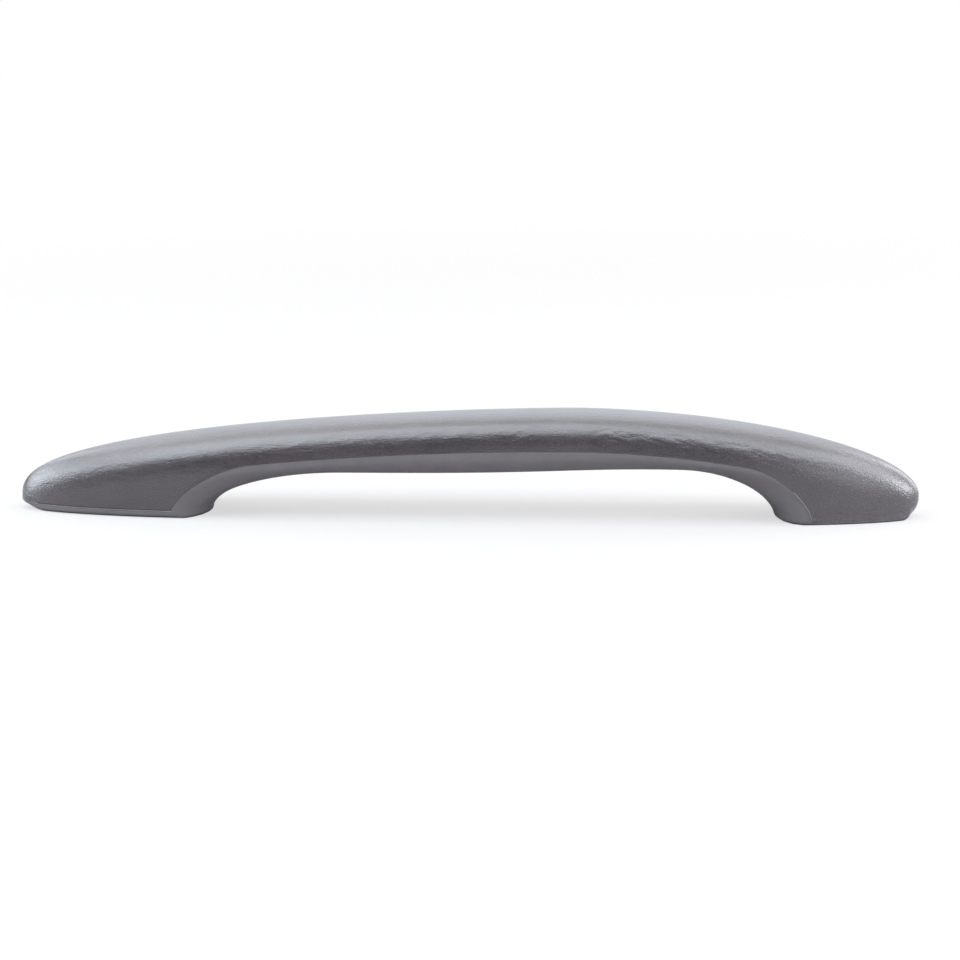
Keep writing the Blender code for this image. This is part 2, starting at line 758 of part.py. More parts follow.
def build_nut(name, x):
    """Weld nut: chamfered hexagon with a pilot collar that sits in the strap's hole."""
    top = NUT_BASE + NUT_HEIGHT
    corner = NUT_ACROSS_FLATS / 2 / np.cos(np.pi / 6)
    data = bmesh.new()
    prism_z(data, hexagon(x, NUT_ACROSS_FLATS), NUT_BASE, top)
    nut = new_object(name, data)

    data = bmesh.new()
    turned(data, x, [
        (corner + CUT_PAST, NUT_BASE - CUT_PAST),
        (corner + CUT_PAST, top - NUT_CHAMFER - CUT_PAST / 2),
        (corner - 2 * NUT_CHAMFER, top + NUT_CHAMFER / 2),
    ])
    apply_tool(nut, new_object(f"guide_{name}_chamfer", data), "INTERSECT")

    data = bmesh.new()
    outline = polygon(x, PILOT_DIAMETER / 2, ROUND_COUNT)
    prism_z(data, outline, NUT_BASE - PILOT_LENGTH, NUT_BASE + PILOT_LENGTH)
    apply_tool(nut, new_object(f"guide_{name}_pilot", data), "UNION")

    data = bmesh.new()
    prism_z(data, polygon(x, NUT_BORE / 2, ROUND_COUNT), 0.0, top + CUT_PAST)
    apply_tool(nut, new_object(f"guide_{name}_bore", data), "DIFFERENCE")
    return nut


def build_screw(name, x):
    """Countersunk screw, driven from below through the base plate into the strap."""
    tip = SCREW_SUNK + SCREW_LENGTH
    chamfer = SCREW_SHANK / 6
    data = bmesh.new()
    turned(data, x, [
        (SCREW_HEAD / 2, SCREW_SUNK),
        (SCREW_SHANK / 2, SCREW_SUNK + SCREW_HEAD_HEIGHT),
        (SCREW_SHANK / 2, tip - chamfer),
        (SCREW_SHANK / 2 - chamfer, tip),
    ])
    screw = new_object(name, data)
    shade(screw)

    data = bmesh.new()
    prism_z(data, hexagon(x, SCREW_RECESS), 0.0, SCREW_SUNK + SCREW_RECESS_DEPTH)
    apply_tool(screw, new_object(f"guide_{name}_recess", data), "DIFFERENCE")
    return screw


def main():
    for item in list(bpy.data.objects):
        bpy.data.objects.remove(item, do_unlink=True)
    places = stations()

    grained = material("grained_skin", (0.072, 0.068, 0.073), 0.5)
    smooth = material("smooth_plastic", (0.085, 0.082, 0.087), 0.42)
    steel = material("strap_steel", (0.42, 0.42, 0.44), 0.38, 1.0)
    zinc = material("zinc_plating", (0.62, 0.62, 0.64), 0.3, 1.0)

    pieces = [(build_cover(places), grained), (build_carrier(places), smooth), (build_strap(), steel)]
    for name, x in zip(("weld_nut_long_foot", "weld_nut_short_foot"), NUT_PLACES):
        pieces.append((build_nut(name, x), zinc))
    for number, x in enumerate(SCREW_PLACES, 1):
        pieces.append((build_screw(f"carrier_screw_{number}", x), zinc))
    for piece, finish in pieces:
        piece.data.materials.append(finish)


main()
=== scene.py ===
"""Looks of the roof grab handle: fine meshes, materials, light and camera.

X runs from the long, low foot (-X) to the short, tall foot (+X), -Y is the front, Z is up.
The section functions and their sizes repeat those of the part's source.
"""

import json

import bmesh
import bpy
import numpy as np
from mathutils import Matrix, Vector, noise

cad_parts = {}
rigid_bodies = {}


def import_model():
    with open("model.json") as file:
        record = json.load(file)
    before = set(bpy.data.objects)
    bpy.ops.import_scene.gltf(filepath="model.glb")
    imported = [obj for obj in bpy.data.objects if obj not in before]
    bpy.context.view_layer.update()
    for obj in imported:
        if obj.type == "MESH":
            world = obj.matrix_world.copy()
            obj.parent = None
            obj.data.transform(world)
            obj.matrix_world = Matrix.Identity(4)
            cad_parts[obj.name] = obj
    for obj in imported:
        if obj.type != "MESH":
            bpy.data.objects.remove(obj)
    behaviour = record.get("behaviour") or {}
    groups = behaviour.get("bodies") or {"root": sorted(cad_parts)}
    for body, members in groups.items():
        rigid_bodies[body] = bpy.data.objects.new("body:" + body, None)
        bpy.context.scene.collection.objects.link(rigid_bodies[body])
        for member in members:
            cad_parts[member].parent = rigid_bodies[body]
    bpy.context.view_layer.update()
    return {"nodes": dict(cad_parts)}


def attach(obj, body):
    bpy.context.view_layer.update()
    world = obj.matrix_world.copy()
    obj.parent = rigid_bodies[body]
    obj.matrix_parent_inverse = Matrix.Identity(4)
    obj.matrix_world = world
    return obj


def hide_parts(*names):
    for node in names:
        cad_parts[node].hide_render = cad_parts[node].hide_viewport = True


for leftover in list(bpy.data.objects):
    bpy.data.objects.remove(leftover, do_unlink=True)
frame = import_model()

MM = 0.001

# Sizes, as in the part's source
LENGTH = 270.0 * MM
WIDTH = 27.2 * MM
HEIGHT = 31.3 * MM
LONG_TAPER = 61.2 * MM
SHORT_TAPER = 50.8 * MM
PLAN_POWER = 1.81
APEX_FROM_SHORT_TIP = 101.2 * MM
LONG_TIP_HEIGHT = 3.0 * MM
SHORT_TIP_HEIGHT = 6.3 * MM
LONG_CREST_POWER = 1.54
LONG_CREST_ROOT = 2.72
SHORT_CREST_POWER = 1.78
SHORT_CREST_ROOT = 2.02
CROWN_DEPTH = 10.3 * MM
CROWN_GROWTH = 8.0 * MM
CROWN_HOLD = 0.25
SHOULDER_EASE = 6.0 * MM
SECTION_POWER = 2.7
TIP_SECTION_POWER = 1.7
LONG_FOOT_LENGTH = 58.8 * MM
SHORT_FOOT_LENGTH = 42.3 * MM
BAR_DEPTH = 15.8 * MM
GAP_SWELL = 1.9 * MM
GAP_SWELL_FROM_SHORT_TIP = 75.5 * MM
GAP_SWELL_REACH = 42.4 * MM
LONG_RAMP_LENGTH = 41.4 * MM
LONG_RAMP_ROOT = 0.56
SHORT_RAMP_LENGTH = 28.8 * MM
SHORT_RAMP_ROOT = 0.60
LONG_HEEL_RETREAT = 10.1 * MM
SHORT_HEEL_RETREAT = 10.5 * MM
LONG_HEEL_FADE = 50.0 * MM
SHORT_HEEL_FADE = 40.0 * MM
LONG_EDGE_ROUND = 1.35 * MM
SHORT_EDGE_ROUND = 0.5 * MM
BAR_EDGE_ROUND = 5.5 * MM
LONG_TIP_ROUND = 8.5 * MM
SHORT_TIP_ROUND = 4.8 * MM
BAND_DEPTH = 6.0 * MM
LONG_PART_DROP = 7.75 * MM
SHORT_PART_DROP = 8.03 * MM
LONG_RIM = 2.3 * MM
SHORT_RIM = 0.8 * MM
LONG_PART_RAMP = 25.0 * MM
LONG_PART_ROOT = 0.72
SHORT_PART_RAMP = 19.0 * MM
SHORT_PART_ROOT = 0.60
CLEAR = 0.3 * MM
CARRIER_WALL = 2.2 * MM
BASE_PLATE = 3.0 * MM
COVER_SKIRT = 2.6 * MM
RIB = 1.6 * MM
RIB_HEIGHT = 0.5 * MM
CELL_COUNT = 11
CELLS_INTO_LONG_FOOT = 4.3 * MM
CELLS_SHORT_MARGIN = 3.0 * MM
PLATE_END_GAP = 7.0 * MM
PLATE_TIP_GAP = 7.5 * MM
SEAT_LIP = 1.0 * MM
STRAP_SIDE_GAP = 6.6 * MM
STRAP_THICKNESS = 3.0 * MM
STRAP_BEND = 9.0 * MM
STRAP_TIP_GAP_LONG = 17.0 * MM
STRAP_TIP_GAP_SHORT = 10.0 * MM
LONG_CRANK_START = 9.0 * MM
LONG_CRANK_RUN = 24.5 * MM
SHORT_CRANK_START = 7.0 * MM
SHORT_CRANK_RUN = 17.5 * MM
LONG_NUT_FROM_TIP = 31.0 * MM
SHORT_NUT_FROM_TIP = 24.0 * MM
NUT_ACROSS_FLATS = 10.0 * MM
NUT_HEIGHT = 5.0 * MM
BOLT_HOLE = 7.0 * MM
BOLT_RUN_OUT = 3.0 * MM
SCREW_PITCH_TO_NUT = 9.8 * MM
SCREW_SHANK = 3.5 * MM
SCREW_LENGTH = 8.0 * MM
SCREW_HEAD = 6.6 * MM
SCREW_HEAD_HEIGHT = 1.8 * MM
SCREW_SUNK = 0.3 * MM
HOOK_LENGTH = 5.0 * MM
HOOK_THICKNESS = 1.6 * MM
HOOK_REACH = 0.9 * MM
HOOK_HEAD = 1.7 * MM
HOOK_ROOT = 1.2 * MM
HOOK_CELLS = (2, 5, 8)

# Derived places
LONG_TIP = -LENGTH / 2
SHORT_TIP = LENGTH / 2
APEX = SHORT_TIP - APEX_FROM_SHORT_TIP
GAP_LONG = LONG_TIP + LONG_FOOT_LENGTH
GAP_SHORT = SHORT_TIP - SHORT_FOOT_LENGTH
SWELL = SHORT_TIP - GAP_SWELL_FROM_SHORT_TIP
GAP_HEIGHT = HEIGHT - BAR_DEPTH - GAP_SWELL
PART_LONG = GAP_LONG - LONG_HEEL_RETREAT
PART_SHORT = GAP_SHORT + SHORT_HEEL_RETREAT
PART_TOP = GAP_HEIGHT + GAP_SWELL + BAND_DEPTH
LONG_NUT = LONG_TIP + LONG_NUT_FROM_TIP
SHORT_NUT = SHORT_TIP - SHORT_NUT_FROM_TIP
STRAP_WIDTH = WIDTH - 2 * STRAP_SIDE_GAP
STRAP_BASE = BASE_PLATE + CLEAR
STRAP_BAR = GAP_HEIGHT + GAP_SWELL + CARRIER_WALL + RIB_HEIGHT + CLEAR
NUT_BASE = STRAP_BASE + STRAP_THICKNESS + CLEAR
SCREW_HOLE = SCREW_SHANK + 2 * CLEAR
NUT_PLACES = (LONG_NUT, SHORT_NUT)
CELLS_START = GAP_LONG - CELLS_INTO_LONG_FOOT
CELLS_END = GAP_SHORT - CELLS_SHORT_MARGIN
SCREW_PLACES = (
    LONG_NUT - SCREW_PITCH_TO_NUT,
    LONG_NUT + SCREW_PITCH_TO_NUT,
    SHORT_NUT + SCREW_PITCH_TO_NUT,
)
CUT_PAST = 2.0 * MM
TINY = 0.01 * MM

# The skin closes up to the carrier, so the parting line is a hairline
SEAM_GAP = 0.04 * MM
# The carrier's upper edge is broken by a small chamfer that catches the light
EDGE_BREAK = 0.30 * MM
EDGE_BREAK_LEAD = 3.0 * MM
EDGE_BREAK_FADE = 4.0 * MM

# Mesh fineness
TIP_REACH = 14.0 * MM
TIP_STATIONS = 26
SEAM_STATIONS = 24
RAMP_STATIONS = 44
STEP = 0.95 * MM
CLOSEST_STEP = 0.08 * MM
UPPER_POINTS = 64
LOWER_POINTS = 8
FLAT_SHARES = (0.0, 0.3, 0.6, 0.85)
EDGE_POINTS = 18
SIDE_POINTS = 7
LEAST_SIDE = 0.2 * MM
LID_SHARES = (1.0, 0.5, 0.0)
HEEL_LEAD = 30.0 * MM
CARRIER_END_STEP = 0.4 * MM
ROUND_SIDES = 48
SETTLE_STEPS = 12
HALVINGS = 22
END_HALVINGS = 40
CROWN_POINTS = 240
UNDERSIDE_POINTS = 80
PLATE_POINTS = 17
CELL_POINTS = 6
CELL_STATIONS = 5
SHARP_ANGLE = 35.0


def unit(value):
    return np.clip(value, 0.0, 1.0)


def rise(distance, span, root):
    """Rounded step from 0 at no distance to 1 a span further on."""
    return (1 - (1 - unit(distance / span)) ** 2) ** root


def smooth_step(value, low, high):
    share = unit((value - low) / (high - low))
    return share * share * (3 - 2 * share)


def half_width(x):
    """Half the plan width of the handle at x."""
    long_end = 1 - unit((x - LONG_TIP) / LONG_TAPER)
    short_end = 1 - unit((SHORT_TIP - x) / SHORT_TAPER)
    fullness = (1 - long_end ** PLAN_POWER) * (1 - short_end ** PLAN_POWER)
    return WIDTH / 2 * np.sqrt(unit(fullness))


def tip_height(x):
    """Height of the tip on the same side of the apex as x."""
    return LONG_TIP_HEIGHT if x < APEX else SHORT_TIP_HEIGHT


def crest_share(x):
    """Height of the crest line above the tips, as a share of its height at the apex."""
    if x < APEX:
        along = unit((APEX - x) / (APEX - LONG_TIP))
        return unit(1 - along ** LONG_CREST_POWER) ** (1 / LONG_CREST_ROOT)
    along = unit((x - APEX) / (SHORT_TIP - APEX))
    return unit(1 - along ** SHORT_CREST_POWER) ** (1 / SHORT_CREST_ROOT)


def crest(x):
    return tip_height(x) + (HEIGHT - tip_height(x)) * crest_share(x)


def section_power(x):
    """Squareness of the crown's section, less towards the tips."""
    return TIP_SECTION_POWER + (SECTION_POWER - TIP_SECTION_POWER) * crest_share(x)


def shoulder(x):
    """Height at which the flank starts to round over into the crown."""
    share = crest_share(x)
    depth = (CROWN_DEPTH + CROWN_GROWTH * (1 - share)) * share ** CROWN_HOLD
    above_tip = crest(x) - depth - tip_height(x)
    ease = SHOULDER_EASE * share * (1 - share)
    return tip_height(x) + (above_tip + np.hypot(above_tip, ease)) / 2


def gap_roof(x):
    """Underside of the handle on its centre line, 0 where the feet stand."""
    swell = GAP_SWELL * np.exp(-((x - SWELL) / GAP_SWELL_REACH) ** 2)
    long_rise = rise(x - GAP_LONG, LONG_RAMP_LENGTH, LONG_RAMP_ROOT)
    short_rise = rise(GAP_SHORT - x, SHORT_RAMP_LENGTH, SHORT_RAMP_ROOT)
    return (GAP_HEIGHT + swell) * long_rise * short_rise


def heel_shift(x, share):
    """How far the heels draw back, at a share of the way from the centre plane to the side."""
    bow = 1 - np.sqrt(1 - unit(share) ** 2)
    long_share = unit(1 - (x - GAP_LONG) / LONG_HEEL_FADE)
    short_share = unit(1 - (GAP_SHORT - x) / SHORT_HEEL_FADE)
    return bow * (LONG_HEEL_RETREAT * long_share - SHORT_HEEL_RETREAT * short_share)


def lower_edge(x, share):
    """Floor height, edge rounding and rise over that rounding of the lower surface."""
    width, tip = half_width(x), tip_height(x)
    nose = 1 - min(unit((x - LONG_TIP) / LONG_TIP_ROUND), unit((SHORT_TIP - x) / SHORT_TIP_ROUND))
    floor = np.maximum(gap_roof(x + heel_shift(x, share)), tip * (1 - np.sqrt(1 - nose ** 2)))
    top = shoulder(x)
    if PART_LONG < x < PART_SHORT:
        top = min(top, carrier_seam(x) - LEAST_SIDE)
        floor = np.minimum(floor, top - LEAST_SIDE)
    lift = np.sqrt(unit(floor / GAP_HEIGHT))
    least = LONG_EDGE_ROUND if x < APEX else SHORT_EDGE_ROUND
    edge = least + (BAR_EDGE_ROUND - least) * lift
    edge = np.minimum(edge + tip * nose ** 2, width)
    return floor, edge, np.minimum(edge, np.maximum(top - floor, 0.0))


def underside(x, y):
    """Lower surface at x and the distances y from the centre plane."""
    width = half_width(x)
    floor, edge, drop = lower_edge(x, np.abs(y) / max(width, TINY))
    inward = unit((np.abs(y) - (width - edge)) / np.maximum(edge, TINY))
    return floor + drop * (1 - np.sqrt(1 - inward ** 2))


def part_line(x):
    """Height of the parting line between the cover and the carrier."""
    if x < APEX:
        drop, rim = LONG_PART_DROP * ((APEX - x) / (APEX - PART_LONG)) ** 2, LONG_RIM
    else:
        drop, rim = SHORT_PART_DROP * ((x - APEX) / (PART_SHORT - APEX)) ** 2, SHORT_RIM
    long_rise = rise(x - PART_LONG, LONG_PART_RAMP, LONG_PART_ROOT)
    short_rise = rise(PART_SHORT - x, SHORT_PART_RAMP, SHORT_PART_ROOT)
    return rim + (PART_TOP - drop - rim) * long_rise * short_rise


def cover_seam(x):
    """Lower limit of the cover: the parting line plus half the hairline."""
    return max(part_line(x - SEAM_GAP / 2), part_line(x + SEAM_GAP / 2)) + SEAM_GAP / 2


def carrier_seam(x):
    """Upper limit of the carrier: the parting line less half the hairline."""
    return min(part_line(x - SEAM_GAP / 2), part_line(x + SEAM_GAP / 2)) - SEAM_GAP / 2


def spread(points, count):
    """Count points evenly spaced along a polyline of (y, z) points."""
    points = np.asarray(points)
    steps = np.hypot(*np.diff(points, axis=0).T)
    along = np.concatenate([[0.0], np.cumsum(steps)])
    wanted = np.linspace(0, along[-1], count)
    return np.column_stack([np.interp(wanted, along, points[:, i]) for i in (0, 1)])


def upper_outline(x, start, count=CROWN_POINTS):
    """Points from the side at height start up to the crest, for y >= 0."""
    width, low, high, power = half_width(x), shoulder(x), crest(x), section_power(x)
    first = unit((start - low) / max(high - low, TINY)) ** (power / 2)
    angles = np.linspace(np.arcsin(first), np.pi / 2, count)
    y = width * np.maximum(np.cos(angles), 0.0) ** (2 / power)
    z = low + (high - low) * np.sin(angles) ** (2 / power)
    points = np.column_stack([y, z])
    return np.vstack([[(width, start)], points]) if start < low else points


def lower_outline(x):
    """Underside from the centre line out to the side, as (y, z) points."""
    ys = half_width(x) * np.sin(np.linspace(0, np.pi / 2, UNDERSIDE_POINTS))
    return np.column_stack([ys, underside(x, ys)])


def mirrored(half):
    """Closed ring from a half outline that runs from bottom centre to top centre."""
    half = [tuple(p) for p in half]
    return half + [(-y, z) for y, z in half[-2:0:-1]]


def cover_ring(x):
    seam = cover_seam(x)
    bottom = lower_outline(x)
    side = bottom[-1, 1]
    if seam > side:
        upper = spread(upper_outline(x, seam), UPPER_POINTS)
        ys = np.linspace(0, upper[0, 0], LOWER_POINTS)
        under = np.column_stack([ys, np.full(LOWER_POINTS, seam)])
    else:
        upper = spread(upper_outline(x, side), UPPER_POINTS)
        under = spread(bottom, LOWER_POINTS)
        under[:, 1] = np.maximum(under[:, 1], seam)
    return mirrored(list(under[:-1]) + list(upper))


def lower_point(station, share, angle):
    """Point of the underside on a section that bends back with the heels."""
    into_foot = max(GAP_LONG - station, station - GAP_SHORT)
    bend = unit(1 - into_foot / HEEL_LEAD)
    x, across = station, share
    for _ in range(SETTLE_STEPS if bend > 0 else 1):
        width = half_width(x)
        _, edge, _ = lower_edge(x, across)
        y = share * (width - edge) + np.sin(angle) * edge
        across = y / width
        x = station - bend * heel_shift(x, across)
    return float(x), float(y), float(underside(x, y))


def seam_angle(station):
    """Angle over the rounded edge at which a section meets the carrier's upper limit."""
    low, high = 0.0, np.pi / 2
    for _ in range(HALVINGS):
        middle = (low + high) / 2
        x, _, z = lower_point(station, 1.0, middle)
        if z < carrier_seam(x):
            low = middle
        else:
            high = middle
    return low


def edge_broken(x):
    """Where the carrier's upper edge is chamfered: along the base of the long foot."""
    return 1 - smooth_step(x, PART_LONG - EDGE_BREAK_LEAD, PART_LONG + EDGE_BREAK_FADE)


def carrier_ring(station):
    """Closed carrier section as (x, y, z) points; only its lower part is bent."""
    x, _, z = lower_point(station, 1.0, np.pi / 2)
    sides = SIDE_POINTS if z < carrier_seam(x) - LEAST_SIDE / 2 else 0
    reach = np.pi / 2 if sides else seam_angle(station)
    outline = [lower_point(station, share, 0.0) for share in FLAT_SHARES]
    for angle in np.linspace(0, reach, EDGE_POINTS + SIDE_POINTS - sides):
        outline.append(lower_point(station, 1.0, angle))
    x, y, low = outline[-1]
    seam = carrier_seam(x)
    for share in np.linspace(0, 1, sides + 1)[1:]:
        z = low + (seam - low) * share
        y = upper_outline(x, z, 2)[0][0]
        outline.append((x, y, z))
    bevel = min(EDGE_BREAK * edge_broken(x), (seam - low) / 2) if sides else 0.0
    lid = y - bevel - TINY
    outline[-1:] = [(x, y, seam - bevel - TINY), *[(x, lid * share, seam) for share in LID_SHARES]]
    return outline + [(x, -y, z) for x, y, z in outline[-2:0:-1]]


def section_ring(x, ring):
    return [(x, y, z) for y, z in ring]


def even(start, end):
    """Evenly spaced stations from start up to, but not including, end."""
    count = max(int(round(abs(end - start) / STEP)), 1)
    return list(np.linspace(start, end, count, endpoint=False))


def eased(start, end, count):
    """Stations from start up to, but not including, end, close together near start."""
    turn = np.linspace(0, np.pi / 2, count, endpoint=False)
    return [start + (end - start) * (1 - np.cos(angle)) for angle in turn]


def end_stations(tip, part, gap, ramp_end, inward):
    """Stations from just inside a tip to the end of its ramp."""
    places = eased(tip, tip + inward * TIP_REACH, TIP_STATIONS)[1:]
    places += even(tip + inward * TIP_REACH, part - inward * CLEAR)
    places.append(part - inward * SEAM_GAP)
    places += eased(part, gap, SEAM_STATIONS)
    places += eased(gap, ramp_end, RAMP_STATIONS)
    return places


def stations():
    """Places along X at which the sections are taken, close where the form turns."""
    long_ramp_end = GAP_LONG + LONG_RAMP_LENGTH
    short_ramp_end = GAP_SHORT - SHORT_RAMP_LENGTH
    places = end_stations(LONG_TIP, PART_LONG, GAP_LONG, long_ramp_end, 1)
    places += even(long_ramp_end, short_ramp_end) + [short_ramp_end]
    places += end_stations(SHORT_TIP, PART_SHORT, GAP_SHORT, short_ramp_end, -1)
    kept = []
    for x in sorted(places):
        if not kept or x - kept[-1] > CLOSEST_STEP:
            kept.append(x)
    return kept


def unit_vector(vector):
    return vector / np.linalg.norm(vector)


def rounded(corners, radius, steps=10):
    """Polyline through (x, z) corners with each inner corner turned into an arc."""
    corners = np.array(corners)
    points = [corners[0]]
    for before, corner, after in zip(corners, corners[1:], corners[2:]):
        arrive = unit_vector(corner - before)
        leave = unit_vector(after - corner)
        turn = np.arctan2(arrive[0] * leave[1] - arrive[1] * leave[0], arrive @ leave)
        start = corner - arrive * radius * np.tan(abs(turn) / 2)
        centre = start + np.sign(turn) * radius * np.array([-arrive[1], arrive[0]])
        for angle in np.linspace(0, turn, steps):
            spin = np.array([[np.cos(angle), -np.sin(angle)], [np.sin(angle), np.cos(angle)]])
            points.append(centre + spin @ (start - centre))
    points.append(corners[-1])
    return np.array(points)


def offset_line(points, distance):
    """Polyline moved to its left by a distance, its corners mitred."""
    steps = np.diff(points, axis=0)
    steps /= np.linalg.norm(steps, axis=1)[:, None]
    normals = np.column_stack([-steps[:, 1], steps[:, 0]])
    before = np.vstack([normals[:1], normals])
    after = np.vstack([normals, normals[-1:]])
    mitre = (before + after) / (1 + np.sum(before * after, axis=1))[:, None]
    return points + mitre * distance


def new_object(name, data):
    """Object from a finished bmesh, its faces turned outward."""
    bmesh.ops.recalc_face_normals(data, faces=data.faces)
    mesh = bpy.data.meshes.new(name)
    data.to_mesh(mesh)
    data.free()
    item = bpy.data.objects.new(name, mesh)
    bpy.context.scene.collection.objects.link(item)
    return item


def skin(data, rings, first=None, last=None):
    """Skin closed rings of (x, y, z) points; an end is a point, or a flat cap if None."""
    rows = [[data.verts.new(point) for point in ring] for ring in rings]
    for before, after in zip(rows, rows[1:]):
        for i in range(len(before)):
            j = i - 1
            data.faces.new((before[j], before[i], after[i], after[j]))
    for row, point in ((rows[0], first), (rows[-1], last)):
        if point is None:
            data.faces.new(row)
            continue
        pole = data.verts.new(point)
        for i in range(len(row)):
            data.faces.new((row[i - 1], row[i], pole))


def prism_x(data, outline, low, high):
    """Prism between two X places with an outline of (y, z) points."""
    skin(data, [[(x, y, z) for y, z in outline] for x in (low, high)])


def prism_y(data, outline, half):
    """Prism centred on Y = 0 with an outline of (x, z) points."""
    skin(data, [[(x, y, z) for x, z in outline] for y in (-half, half)])


def prism_z(data, outline, low, high):
    """Prism between two heights with an outline of (x, y) points."""
    skin(data, [[(x, y, z) for x, y in outline] for z in (low, high)])


def polygon(x, radius, sides, start=0.0):
    angles = start + np.arange(sides) * 2 * np.pi / sides
    return [(x + radius * np.cos(a), radius * np.sin(a)) for a in angles]


def hexagon(x, across_flats):
    return polygon(x, across_flats / np.sqrt(3), 6, np.pi / 6)


def turned(data, x, profile):
    """Solid of revolution about a vertical axis at x, from (radius, z) points."""
    skin(data, [[(a, b, z) for a, b in polygon(x, r, ROUND_SIDES)] for r, z in profile])


def apply_tool(item, data, operation):
    """Cut a tool from an object or join it on, for good."""
    tool = new_object("tool", data)
    modifier = item.modifiers.new("tool", "BOOLEAN")
    modifier.operation = operation
    modifier.solver = "EXACT"
    modifier.object = tool
    graph = bpy.context.evaluated_depsgraph_get()
    result = bpy.data.meshes.new_from_object(item.evaluated_get(graph))
    item.modifiers.clear()
    item.data = result
    bpy.data.objects.remove(tool, do_unlink=True)


def shade(item):
    item.data.shade_smooth()
    item.data.set_sharp_from_angle(angle=np.radians(SHARP_ANGLE))


def strap_underside():
    """Line of the strap's lower face: flat in each foot, cranked up to a level bar."""
    return rounded(
        [
            (LONG_TIP + STRAP_TIP_GAP_LONG, STRAP_BASE),
            (GAP_LONG - LONG_CRANK_START, STRAP_BASE),
            (GAP_LONG - LONG_CRANK_START + LONG_CRANK_RUN, STRAP_BAR),
            (GAP_SHORT + SHORT_CRANK_START - SHORT_CRANK_RUN, STRAP_BAR),
            (GAP_SHORT + SHORT_CRANK_START, STRAP_BASE),
            (SHORT_TIP - STRAP_TIP_GAP_SHORT, STRAP_BASE),
        ],
        STRAP_BEND,
    )


def plate_outline(foot, grow):
    """Plan of the raised base plate inside one foot, as (x, y) points."""
    if foot == "long":
        low, high = LONG_TIP + PLATE_TIP_GAP, GAP_LONG - PLATE_END_GAP
    else:
        low, high = GAP_SHORT + PLATE_END_GAP, SHORT_TIP - PLATE_TIP_GAP
    xs = np.linspace(low, high, PLATE_POINTS)
    side = [(x, half_width(x) - COVER_SKIRT + grow) for x in xs]
    side[0] = (low - grow, side[0][1])
    side[-1] = (high + grow, side[-1][1])
    return side + [(x, -y) for x, y in side[::-1]]


def add_plates(data, grow, low, high):
    for foot in ("long", "short"):
        prism_z(data, plate_outline(foot, grow), low, high)


def cell_ring(x):
    """Section of a carrier pocket: the underside moved in by the wall, open at the top."""
    inner = half_width(x) - CARRIER_WALL
    shares = np.sin(np.linspace(0, np.pi / 2, CELL_POINTS))
    outer = half_width(x) * shares
    floor = np.max([underside(x + shift, outer) for shift in (-CARRIER_WALL, 0, CARRIER_WALL)], axis=0)
    top = part_line(x) + CUT_PAST
    heights = np.minimum(floor + CARRIER_WALL, top - CUT_PAST / 2)
    return mirrored([*zip(inner * shares, heights), (inner, top), (0.0, top)])


def cell_span(index):
    pitch = (CELLS_END - CELLS_START) / CELL_COUNT
    start = CELLS_START + index * pitch
    return start + RIB / 2, start + pitch - RIB / 2


def add_cells(data):
    for index in range(CELL_COUNT):
        xs = np.linspace(*cell_span(index), CELL_STATIONS)
        skin(data, [section_ring(x, cell_ring(x)) for x in xs])


def hook_places():
    return [np.mean(cell_span(index)) for index in HOOK_CELLS]


def add_hooks(data):
    """Snap hooks that stand on the carrier's floor and latch over the strap's edges."""
    latch = STRAP_BAR + STRAP_THICKNESS + CLEAR
    inside = STRAP_WIDTH / 2 + CLEAR
    outside = inside + HOOK_THICKNESS
    for x in hook_places():
        root = underside(x, np.array([outside]))[0] + CARRIER_WALL - HOOK_ROOT
        profile = [
            (inside, root),
            (outside, root),
            (outside, latch + HOOK_HEAD),
            (inside, latch + HOOK_HEAD),
            (inside - HOOK_REACH, latch + HOOK_REACH),
            (inside - HOOK_REACH, latch),
            (inside, latch),
        ]
        for side in (1, -1):
            outline = [(side * y, z) for y, z in profile]
            prism_x(data, outline, x - HOOK_LENGTH / 2, x + HOOK_LENGTH / 2)


def add_hook_pockets(data):
    top = STRAP_BAR + STRAP_THICKNESS + CLEAR + HOOK_HEAD + CLEAR
    half = STRAP_WIDTH / 2 + CLEAR + HOOK_THICKNESS + CLEAR
    reach = HOOK_LENGTH / 2 + CLEAR
    for x in hook_places():
        outline = [(-half, -CUT_PAST), (half, -CUT_PAST), (half, top), (-half, top)]
        prism_x(data, outline, x - reach, x + reach)


# Surface form of the skin: how deep it sinks at a place, always inward
STROKE_DEPTH = 0.13 * MM
WRINKLE_DEPTH = 0.10 * MM
WAVE_DEPTH = 0.10 * MM
SEAM_ROLL = 1.2 * MM
SKIN_SUNK = 0.03 * MM
# The form fades out towards the parting line and towards the narrow tips
FORM_FADE = (0.2 * MM, 1.5 * MM)
TIP_FADE = (2 * MM, 6 * MM)
ROLL_FADE = (2 * MM, 4 * MM)
# Mould line on the short foot
BEAD_RADIUS = 0.20 * MM
BEAD_LENGTH = 5.5 * MM
BEAD_SIDES = 8
# It tapers in over its first stations, from a share of its radius
BEAD_START = 0.25
BEAD_TAPER = 8
# The higher this power, the closer the stations stand at the bead's far end
BEAD_EASE = 1.5
BEAD_STATIONS = 40


# Brings the noise's usual reach up to 1
RIDGE_GAIN = 2.6


def ridged(a, b, c):
    """Noise from 0 to 1 with sharp valleys at 0."""
    return min(abs(noise.noise(Vector((a, b, c)))) * RIDGE_GAIN, 1.0)


